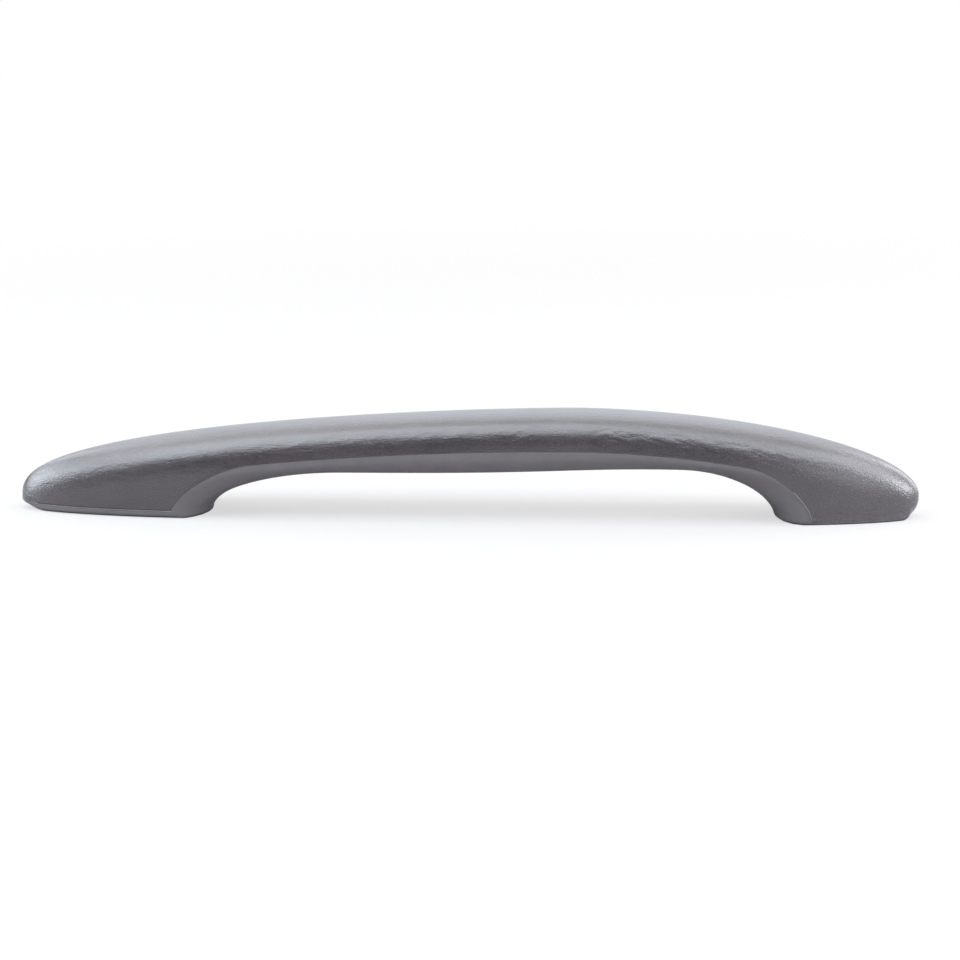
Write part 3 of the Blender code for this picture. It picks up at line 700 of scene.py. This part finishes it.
def skin_depth(x, y, z, tilt):
    """Depth of the strokes, wrinkles and long waves at a point; tilt is 0 on top, 1 on the flank."""
    along, down = x / MM, (HEIGHT - z) / MM
    offset = 0.0 if y < 0 else 57.0
    front = 1.0 if y < 0 else 0.6
    middle = smooth_step(x, -0.070, -0.045) * (1 - smooth_step(x, 0.085, 0.102))
    edge = smooth_step(tilt, 0.18, 0.36) * (1 - smooth_step(tilt, 0.62, 0.90))
    slant = down + along * 0.42
    stroke = 1 - ridged(along / 9.0 + offset, slant / 1.5, 3.1)
    patch = 0.35 + 0.65 * smooth_step(noise.noise(Vector((along / 16, offset, 7.7))), -0.2, 0.3)
    late = smooth_step(x, 0.030, 0.050) * (1 - smooth_step(x, 0.088, 0.108))
    fold_zone = smooth_step(tilt, 0.24, 0.42) * (1 - smooth_step(tilt, 0.72, 1.0))
    bend = down - along * 0.30 + 1.6 * noise.noise(Vector((along / 7, down / 5 + offset, 2.2)))
    fold = 1 - ridged(along / 11.0 + offset, bend / 2.3, 11.9)
    wave = 0.5 + 0.5 * noise.noise(Vector((along / 26.0, np.sign(y) + tilt * 1.5, 5.3)))
    depth = STROKE_DEPTH * stroke ** 2 * patch * middle * edge * front
    depth += WRINKLE_DEPTH * fold ** 2 * late * fold_zone * front
    return depth + WAVE_DEPTH * wave * smooth_step(tilt, 0.1, 0.4)


def sunk_ring(x, ring):
    """Cover section with the surface form pressed into its outer side."""
    points = np.array(ring)
    ahead = np.roll(points, -1, axis=0)
    behind = np.roll(points, 1, axis=0)
    along = ahead - behind
    along /= np.maximum(np.linalg.norm(along, axis=1), 1e-12)[:, None]
    outward = np.column_stack([along[:, 1], -along[:, 0]])
    seam = max(cover_seam(x), underside(x, np.array([half_width(x)]))[0])
    roll = EDGE_BREAK * edge_broken(x)
    result = []
    for (y, z), (out_y, out_z) in zip(points, outward):
        above = z - seam
        if above < -TINY or half_width(x) < TIP_FADE[0]:
            result.append((x, y, z))
            continue
        tilt = min(max(1 - out_z, 0.0), 1.0)
        fade = smooth_step(above, *FORM_FADE) * smooth_step(half_width(x), *TIP_FADE)
        depth = skin_depth(x, y, z, tilt) * fade + SKIN_SUNK * unit(above / SEAM_ROLL)
        inward = roll * (1 - unit(above / SEAM_ROLL)) ** 2 * smooth_step(abs(y), *ROLL_FADE)
        result.append((x, y - out_y * depth - np.sign(y) * inward, z - max(out_z, 0.0) * depth))
    return result


def add_bead(data):
    """Thin raised line that the mould left where the skin meets the carrier down the short foot."""
    xs = PART_SHORT - BEAD_LENGTH * np.cos(np.linspace(0, np.pi / 2, BEAD_STATIONS)) ** BEAD_EASE
    for side in (-1, 1):
        path = []
        for x in xs[:-1]:
            z = part_line(x)
            path.append(np.array([x, side * upper_outline(x, z, 2)[0][0], z]))
        path = np.array(path)
        rings = []
        for index, point in enumerate(path):
            run = unit_vector(path[min(index + 1, len(path) - 1)] - path[max(index - 1, 0)])
            out = unit_vector(np.cross(run, np.cross((0.0, side, 0.0), run)))
            across = np.cross(out, run)
            radius = BEAD_RADIUS * min(1.0, BEAD_START + index / BEAD_TAPER)
            rings.append([tuple(point + radius * (np.cos(a) * out + np.sin(a) * across))
                          for a in np.arange(BEAD_SIDES) * 2 * np.pi / BEAD_SIDES])
        skin(data, rings)


def build_cover(places):
    """Grained moulding: the crown and flanks, recessed from below for what it holds."""
    data = bmesh.new()
    rings = [sunk_ring(x, cover_ring(x)) for x in places]
    skin(data, rings, (LONG_TIP, 0, LONG_TIP_HEIGHT), (SHORT_TIP, 0, SHORT_TIP_HEIGHT))
    cover = new_object("grip_skin", data)

    data = bmesh.new()
    roof = offset_line(strap_underside(), STRAP_THICKNESS + CLEAR)
    roof[0, 0] -= CLEAR
    roof[-1, 0] += CLEAR
    outline = [(roof[0, 0], -CUT_PAST), *roof, (roof[-1, 0], -CUT_PAST)]
    prism_y(data, outline, STRAP_WIDTH / 2 + CLEAR)
    apply_tool(cover, data, "DIFFERENCE")

    data = bmesh.new()
    add_plates(data, CLEAR, -CUT_PAST, BASE_PLATE + SEAT_LIP + CLEAR)
    apply_tool(cover, data, "DIFFERENCE")

    data = bmesh.new()
    for x in NUT_PLACES:
        prism_z(data, hexagon(x, NUT_ACROSS_FLATS + 2 * CLEAR), -CUT_PAST, NUT_BASE + NUT_HEIGHT + CLEAR)
    for x in SCREW_PLACES:
        outline = polygon(x, SCREW_HOLE / 2, ROUND_SIDES)
        prism_z(data, outline, -CUT_PAST, SCREW_SUNK + SCREW_LENGTH + CLEAR)
    add_hook_pockets(data)
    apply_tool(cover, data, "DIFFERENCE")

    data = bmesh.new()
    for x in NUT_PLACES:
        outline = polygon(x, BOLT_HOLE / 2, ROUND_SIDES)
        prism_z(data, outline, NUT_BASE, NUT_BASE + NUT_HEIGHT + CLEAR + BOLT_RUN_OUT)
    apply_tool(cover, data, "DIFFERENCE")
    shade(cover)
    return cover


def carrier_end(tip, inward):
    """Place beside a tip where the rounded underside reaches the carrier's upper limit."""
    near, far = tip, tip + inward * TIP_REACH
    for _ in range(END_HALVINGS):
        middle = (near + far) / 2
        if underside(middle, np.array([0.0]))[0] < carrier_seam(middle):
            far = middle
        else:
            near = middle
    return far


def build_carrier(places):
    """Smooth lower shell: the band along the bar, the ramps and the base of both feet."""
    long_end = carrier_end(LONG_TIP, 1)
    short_end = carrier_end(SHORT_TIP, -1)
    inside = [x for x in places if long_end + CARRIER_END_STEP < x < short_end - CARRIER_END_STEP]
    data = bmesh.new()
    rings = [carrier_ring(x) for x in inside]
    poles = [(x, 0, carrier_seam(x)) for x in (long_end, short_end)]
    skin(data, rings, *poles)
    carrier = new_object("carrier_shell", data)

    data = bmesh.new()
    add_cells(data)
    apply_tool(carrier, data, "DIFFERENCE")

    data = bmesh.new()
    add_plates(data, 0.0, SHORT_RIM / 2, BASE_PLATE + SEAT_LIP)
    apply_tool(carrier, data, "UNION")

    data = bmesh.new()
    seat = offset_line(strap_underside(), -CLEAR)
    seat[0, 0] -= CUT_PAST
    seat[-1, 0] += CUT_PAST
    outline = [(seat[0, 0], HEIGHT), *seat, (seat[-1, 0], HEIGHT)]
    prism_y(data, outline, STRAP_WIDTH / 2 + CLEAR)
    apply_tool(carrier, data, "DIFFERENCE")

    data = bmesh.new()
    add_hooks(data)
    apply_tool(carrier, data, "UNION")

    data = bmesh.new()
    for x in NUT_PLACES:
        prism_z(data, polygon(x, BOLT_HOLE / 2, ROUND_SIDES), -CUT_PAST, BASE_PLATE + CUT_PAST)
    for x in SCREW_PLACES:
        turned(data, x, [
            (SCREW_HEAD / 2 + CLEAR, -CUT_PAST),
            (SCREW_HEAD / 2 + CLEAR, SCREW_SUNK),
            (SCREW_HOLE / 2, SCREW_SUNK + SCREW_HEAD_HEIGHT),
            (SCREW_HOLE / 2, BASE_PLATE + CUT_PAST),
        ])
    apply_tool(carrier, data, "DIFFERENCE")

    data = bmesh.new()
    data.from_mesh(carrier.data)
    add_bead(data)
    data.to_mesh(carrier.data)
    data.free()
    shade(carrier)
    return carrier


def set_range(made, low, high, new_low, new_high):
    """Set the limits of a map range node."""
    for key, number in zip(("From Min", "From Max", "To Min", "To Max"), (low, high, new_low, new_high)):
        made.inputs[key].default_value = number


class Nodes:
    """Small helper that adds and links shader nodes of one material."""

    def __init__(self, name):
        self.material = bpy.data.materials.new(name)
        self.material.use_nodes = True
        self.tree = self.material.node_tree
        self.shader = self.tree.nodes["Principled BSDF"]
        place = self.tree.nodes.new("ShaderNodeTexCoord")
        self.place = self.node("ShaderNodeVectorMath", {"operation": "SCALE"}, {0: place.outputs["Object"]})
        self.place.inputs["Scale"].default_value = 1 / MM

    def node(self, kind, settings=None, inputs=None):
        made = self.tree.nodes.new(kind)
        for key, value in (settings or {}).items():
            setattr(made, key, value)
        for key, value in (inputs or {}).items():
            self.feed(made.inputs[key], value)
        return made

    def feed(self, socket, value):
        if isinstance(value, bpy.types.NodeSocket):
            self.tree.links.new(value, socket)
        else:
            socket.default_value = value

    def stretched(self, scale, turn=(0.0, 0.0, 0.0)):
        """Place in millimetres, turned, with its own scale along each axis."""
        made = self.node("ShaderNodeMapping", {}, {"Vector": self.place.outputs[0]})
        made.inputs["Rotation"].default_value = turn
        made.inputs["Scale"].default_value = scale
        return made.outputs[0]

    def noise(self, vector, scale, detail=3.0, rough=0.5):
        made = self.node("ShaderNodeTexNoise", {}, {"Vector": vector})
        made.inputs["Scale"].default_value = scale
        made.inputs["Detail"].default_value = detail
        made.inputs["Roughness"].default_value = rough
        return made.outputs["Fac"]

    def cells(self, vector, scale, feature="DISTANCE_TO_EDGE"):
        made = self.node("ShaderNodeTexVoronoi", {"feature": feature}, {"Vector": vector, "Scale": scale})
        return made.outputs["Distance"]

    def math(self, operation, a, b):
        return self.node("ShaderNodeMath", {"operation": operation}, {0: a, 1: b}).outputs[0]

    def remap(self, value, low, high, new_low, new_high):
        made = self.node("ShaderNodeMapRange", {}, {"Value": value})
        set_range(made, low, high, new_low, new_high)
        return made.outputs[0]

    def blend(self, share, a, b):
        """Colour between a and b; a mix node keeps its colours in sockets 6 and 7."""
        return self.node("ShaderNodeMix", {"data_type": "RGBA"}, {"Factor": share, 6: a, 7: b}).outputs[2]

    def bump(self, height, distance, strength=1.0, under=None):
        made = self.node("ShaderNodeBump", {}, {"Height": height})
        made.inputs["Distance"].default_value = distance
        made.inputs["Strength"].default_value = strength
        if under is not None:
            self.feed(made.inputs["Normal"], under)
        return made.outputs["Normal"]

    def set(self, name, value):
        self.feed(self.shader.inputs[name], value)


def colour(red, green, blue):
    return (red, green, blue, 1.0)


def grained_skin():
    """Charcoal foam skin with a fine leather grain, tiny folds along it, a soft sheen and painted shade in
    the grain's valleys.
    """
    nodes = Nodes("grained_skin")
    warp = nodes.node("ShaderNodeTexNoise", {}, {"Vector": nodes.place.outputs[0], "Scale": 0.45})
    slanted = nodes.stretched((0.8, 1.0, 1.1), (0.0, 0.35, 0.1))
    pushed = nodes.node("ShaderNodeVectorMath", {"operation": "MULTIPLY_ADD"},
                        {0: warp.outputs["Color"], 1: (1.1, 1.1, 1.1), 2: slanted})
    pebbles = nodes.cells(pushed.outputs[0], 1.15)
    pebble_tops = nodes.remap(pebbles, 0.0, 0.32, 0.0, 1.0)
    fine = nodes.noise(nodes.place.outputs[0], 3.2, 4.0, 0.6)
    folds = nodes.noise(nodes.stretched((0.16, 1.0, 1.0), (0.0, 0.12, 0.0)), 0.85, 3.0, 0.55)
    height = nodes.math("ADD", nodes.math("MULTIPLY", pebble_tops, 0.55),
                        nodes.math("MULTIPLY", fine, 0.35))
    grain = nodes.bump(height, 0.048 * MM, 1.0)
    nodes.set("Normal", nodes.bump(folds, 0.25 * MM, 0.35, grain))

    patches = nodes.noise(nodes.place.outputs[0], 0.055, 4.0, 0.6)
    tone = nodes.blend(nodes.remap(patches, 0.35, 0.65, 0.0, 1.0),
                       colour(0.036, 0.0285, 0.033), colour(0.047, 0.037, 0.0425))
    # Painted shade: the base colour darkens towards near black in the valleys between the grain's pebbles
    tone = nodes.blend(nodes.remap(pebbles, 0.0, 0.18, 0.5, 0.0), tone, colour(0.014, 0.011, 0.013))
    specks = nodes.cells(nodes.place.outputs[0], 0.1, "F1")
    tone = nodes.blend(nodes.remap(specks, 0.016, 0.026, 0.4, 0.0), tone, colour(0.55, 0.55, 0.56))
    nodes.set("Base Color", tone)

    dull = nodes.math("ADD", nodes.remap(patches, 0.3, 0.7, 0.30, 0.35),
                      nodes.remap(fine, 0.3, 0.7, -0.02, 0.03))
    nodes.set("Roughness", dull)
    nodes.set("Specular IOR Level", 1.0)
    nodes.set("Sheen Weight", 0.4)
    nodes.set("Sheen Roughness", 0.4)
    nodes.set("Sheen Tint", colour(0.92, 0.94, 1.0))
    return nodes.material


def smooth_plastic():
    """Charcoal moulded plastic with a satin face, faint flow marks, lighter scuffs and painted shade along
    its base.
    """
    nodes = Nodes("smooth_plastic")
    flow = nodes.noise(nodes.stretched((0.05, 0.5, 0.5)), 1.0, 4.0, 0.6)
    fine = nodes.noise(nodes.place.outputs[0], 6.0, 2.0, 0.5)
    patches = nodes.noise(nodes.place.outputs[0], 0.09, 4.0, 0.65)
    tone = nodes.blend(nodes.remap(patches, 0.35, 0.65, 0.0, 1.0),
                       colour(0.112, 0.104, 0.108), colour(0.127, 0.118, 0.123))
    scuffs = nodes.noise(nodes.stretched((0.35, 1.6, 1.6), (0.0, 0.2, 0.3)), 0.9, 5.0, 0.7)
    tone = nodes.blend(nodes.remap(scuffs, 0.62, 0.72, 0.0, 0.35), tone, colour(0.15, 0.15, 0.155))
    # Painted shade: the base colour darkens over the lowest 0.9 mm, strongest below 0.3 mm, along the line
    # where the feet meet the floor
    height = nodes.node("ShaderNodeSeparateXYZ", {}, {"Vector": nodes.place.outputs[0]}).outputs["Z"]
    tone = nodes.blend(nodes.remap(height, 0.3, 0.9, 0.8, 0.0), tone, colour(0.030, 0.027, 0.031))
    nodes.set("Base Color", tone)
    nodes.set("Roughness", nodes.math("ADD", nodes.remap(flow, 0.3, 0.7, 0.33, 0.42),
                                      nodes.remap(scuffs, 0.55, 0.75, 0.0, 0.12)))
    height = nodes.math("ADD", nodes.math("MULTIPLY", fine, 0.5), flow)
    nodes.set("Normal", nodes.bump(height, 0.02 * MM, 0.6))
    nodes.set("Specular IOR Level", 0.5)
    return nodes.material


def strap_steel():
    """Pressed mild steel: drawn along its length, dull, with darker mill marks."""
    nodes = Nodes("strap_steel")
    drawn = nodes.noise(nodes.stretched((0.04, 2.2, 2.2)), 1.2, 5.0, 0.65)
    patches = nodes.noise(nodes.place.outputs[0], 0.12, 5.0, 0.65)
    tone = nodes.blend(nodes.remap(patches, 0.35, 0.7, 0.0, 1.0),
                       colour(0.42, 0.42, 0.44), colour(0.27, 0.265, 0.27))
    nodes.set("Base Color", tone)
    nodes.set("Metallic", 1.0)
    nodes.set("Roughness", nodes.math("ADD", nodes.remap(drawn, 0.3, 0.7, 0.30, 0.44),
                                      nodes.remap(patches, 0.35, 0.7, 0.0, 0.15)))
    nodes.set("Normal", nodes.bump(drawn, 0.03 * MM, 0.5))
    return nodes.material


def zinc_plating():
    """Bright zinc with fine crystals and a faint warm and cool drift."""
    nodes = Nodes("zinc_plating")
    crystals = nodes.cells(nodes.place.outputs[0], 3.5, "F1")
    drift = nodes.noise(nodes.place.outputs[0], 0.4, 3.0, 0.6)
    tone = nodes.blend(nodes.remap(drift, 0.35, 0.65, 0.0, 1.0),
                       colour(0.62, 0.62, 0.64), colour(0.60, 0.585, 0.53))
    nodes.set("Base Color", tone)
    nodes.set("Metallic", 1.0)
    nodes.set("Roughness", nodes.remap(crystals, 0.0, 0.6, 0.24, 0.36))
    nodes.set("Normal", nodes.bump(nodes.noise(nodes.place.outputs[0], 5.0), 0.02 * MM, 0.5))
    return nodes.material


# Camera, as fitted to the photograph's outline
TARGET = Vector((0.0, 0.0, 15.0 * MM))
CAMERA_DISTANCE = 718.4 * MM
CAMERA_ELEVATION = np.radians(12.866)
CAMERA_AZIMUTH = np.radians(5.523)
CAMERA_ROLL = np.radians(-0.685)
CAMERA_LENS = 90.1
CAMERA_SHIFT = (0.0184, -0.0181)


# Sensor width of the camera in millimetres, and its near and far limits in metres
CAMERA_SENSOR = 36.0
CAMERA_NEAR, CAMERA_FAR = 0.05, 60.0


def add_camera():
    around, up = CAMERA_AZIMUTH, CAMERA_ELEVATION
    back = Vector((np.sin(around) * np.cos(up), -np.cos(around) * np.cos(up), np.sin(up)))
    side = Vector((np.cos(around), np.sin(around), 0.0))
    above = back.cross(side)
    right = side * np.cos(CAMERA_ROLL) + above * np.sin(CAMERA_ROLL)
    upright = above * np.cos(CAMERA_ROLL) - side * np.sin(CAMERA_ROLL)
    data = bpy.data.cameras.new("camera")
    data.lens = CAMERA_LENS
    data.sensor_width = CAMERA_SENSOR
    data.shift_x, data.shift_y = CAMERA_SHIFT
    data.clip_start, data.clip_end = CAMERA_NEAR, CAMERA_FAR
    camera = bpy.data.objects.new("camera", data)
    turn = Matrix((right, upright, back)).transposed().to_4x4()
    camera.matrix_world = Matrix.Translation(TARGET + back * CAMERA_DISTANCE) @ turn
    bpy.context.scene.collection.objects.link(camera)
    bpy.context.scene.camera = camera


def add_lamp(name, place, aim, size, power, tint):
    """Rectangular softbox at a place, turned towards its aim and hidden from the camera."""
    data = bpy.data.lights.new(name, "AREA")
    data.shape = "RECTANGLE"
    data.size, data.size_y = size
    data.energy = power
    data.color = tint
    lamp = bpy.data.objects.new(name, data)
    direction = Vector(aim) - Vector(place)
    turn = direction.to_track_quat("-Z", "Y").to_matrix().to_4x4()
    lamp.matrix_world = Matrix.Translation(place) @ turn
    lamp.visible_camera = False
    bpy.context.scene.collection.objects.link(lamp)


# Floor: its true colour, and how far the camera sees it as plain white, at these reaches in metres
FLOOR_RADIUS = 12.0
FLOOR_SIDES = 96
FLOOR_DROP = 0.02 * MM
FLOOR_COLOUR = (0.39, 0.375, 0.375)
WHITE_REACH = (0.22, 0.75)
WHITE_SHARE = (0.62, 1.0)
# Strength of the world for the light and for the camera
ROOM_STRENGTH = (0.02, 1.0)


def add_floor():
    """Wide pale floor that keeps the shadow near the handle and runs out to white."""
    data = bmesh.new()
    bmesh.ops.create_circle(data, cap_ends=True, segments=FLOOR_SIDES, radius=FLOOR_RADIUS)
    floor = new_object("floor", data)
    floor.location.z = -FLOOR_DROP
    surface = bpy.data.materials.new("floor_white")
    surface.use_nodes = True
    tree = surface.node_tree
    tree.nodes.clear()
    output = tree.nodes.new("ShaderNodeOutputMaterial")
    matt = tree.nodes.new("ShaderNodeBsdfDiffuse")
    matt.inputs["Color"].default_value = colour(*FLOOR_COLOUR)
    white = tree.nodes.new("ShaderNodeEmission")
    white.inputs["Color"].default_value = colour(1.0, 1.0, 1.0)
    path = tree.nodes.new("ShaderNodeLightPath")
    place = tree.nodes.new("ShaderNodeTexCoord")
    reach = tree.nodes.new("ShaderNodeVectorMath")
    reach.operation = "LENGTH"
    fade = tree.nodes.new("ShaderNodeMapRange")
    fade.interpolation_type = "SMOOTHSTEP"
    set_range(fade, *WHITE_REACH, *WHITE_SHARE)
    share = tree.nodes.new("ShaderNodeMath")
    share.operation = "MULTIPLY"
    mix = tree.nodes.new("ShaderNodeMixShader")
    link = tree.links.new
    link(place.outputs["Object"], reach.inputs[0])
    link(reach.outputs["Value"], fade.inputs["Value"])
    link(fade.outputs[0], share.inputs[0])
    link(path.outputs["Is Camera Ray"], share.inputs[1])
    link(share.outputs[0], mix.inputs[0])
    link(matt.outputs[0], mix.inputs[1])
    link(white.outputs[0], mix.inputs[2])
    link(mix.outputs[0], output.inputs["Surface"])
    floor.data.materials.append(surface)


def add_world():
    """White room for the camera, and a faint even level for the light on the handle."""
    world = bpy.data.worlds.new("room")
    bpy.context.scene.world = world
    world.use_nodes = True
    tree = world.node_tree
    ground = tree.nodes["Background"]
    ground.inputs["Color"].default_value = colour(1.0, 1.0, 1.0)
    path = tree.nodes.new("ShaderNodeLightPath")
    level = tree.nodes.new("ShaderNodeMapRange")
    set_range(level, 0.0, 1.0, *ROOM_STRENGTH)
    tree.links.new(path.outputs["Is Camera Ray"], level.inputs["Value"])
    tree.links.new(level.outputs[0], ground.inputs["Strength"])


# Softboxes in an arc over the handle: degrees up from the front, and watts
LAMP_RADIUS = 1.1
CENTRE = (0.0, 0.0, 0.0)
ARC_LAMPS = (
    (52, 3.0), (66, 8.0), (80, 4.6), (95, 5.1), (112, 2.2), (130, 4.2), (148, 3.0), (165, 0.9),
)
ARC_SIZE = (1.8, 0.28)
# Smaller ones off both ends: side, degrees back from the side, height as a share, and watts
SIDE_LAMPS = (
    (-1, 10, 0.50, 4.0), (-1, 30, 0.88, 0.8), (-1, 40, 0.50, 1.5), (-1, -10, 0.25, 5.6),
    (-1, -20, 0.50, 3.4), (-1, -30, 0.88, 0.7), (-1, -40, 0.72, 1.2), (1, 0, 0.72, 2.9),
    (1, 30, 0.25, 3.4), (1, 40, 0.50, 3.1), (1, -10, 0.25, 6.4), (1, -20, 0.50, 3.7),
    (1, -28, 0.25, 0.7), (1, -55, 0.25, 1.9),
)
SIDE_SIZE = (0.45, 0.45)
# Cool light from the front and the left, a nearly neutral one from above and behind
COOL_TINT = (0.87, 0.935, 1.0)
TOP_TINT = (0.95, 0.985, 0.985)
RIGHT_TINT = (0.92, 0.945, 1.0)
# Narrow strip light that sharpens the bright streak along the shoulder
STREAK_PLACE = (-0.50, -0.04, 1.1)
STREAK_SIZE = (1.3, 0.05)
STREAK_POWER = 2.2


def add_lamps():
    for angle, power in ARC_LAMPS:
        turn = np.radians(angle)
        place = (0.0, -LAMP_RADIUS * np.cos(turn), LAMP_RADIUS * np.sin(turn))
        add_lamp("arc_%d" % angle, place, CENTRE, ARC_SIZE, power,
                 COOL_TINT if angle < 90 else TOP_TINT)
    under_streak = (STREAK_PLACE[0], 0.0, 0.0)
    add_lamp("streak", STREAK_PLACE, under_streak, STREAK_SIZE, STREAK_POWER, COOL_TINT)
    for number, (side, angle, share, power) in enumerate(SIDE_LAMPS):
        turn = np.radians(angle)
        reach = LAMP_RADIUS * np.sqrt(1 - share ** 2)
        place = (side * reach * np.cos(turn), reach * np.sin(turn), LAMP_RADIUS * share)
        add_lamp("side_%d" % number, place, CENTRE, SIDE_SIZE, power,
                 COOL_TINT if side < 0 else RIGHT_TINT)


def main():
    places = stations()
    cover = build_cover(places)
    cover.data.materials.clear()
    cover.data.materials.append(grained_skin())
    carrier = build_carrier(places)
    carrier.data.materials.clear()
    carrier.data.materials.append(smooth_plastic())
    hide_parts("grip_cover")
    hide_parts("carrier")
    for piece in (cover, carrier):
        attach(piece, "root")

    steel, zinc = strap_steel(), zinc_plating()
    for name, node in frame["nodes"].items():
        if name in ("grip_cover", "carrier"):
            continue
        node.data.materials.clear()
        node.data.materials.append(steel if name == "core_strap" else zinc)

    add_camera()
    add_floor()
    add_world()
    add_lamps()

    bpy.context.scene.view_settings.view_transform = "Standard"


main()
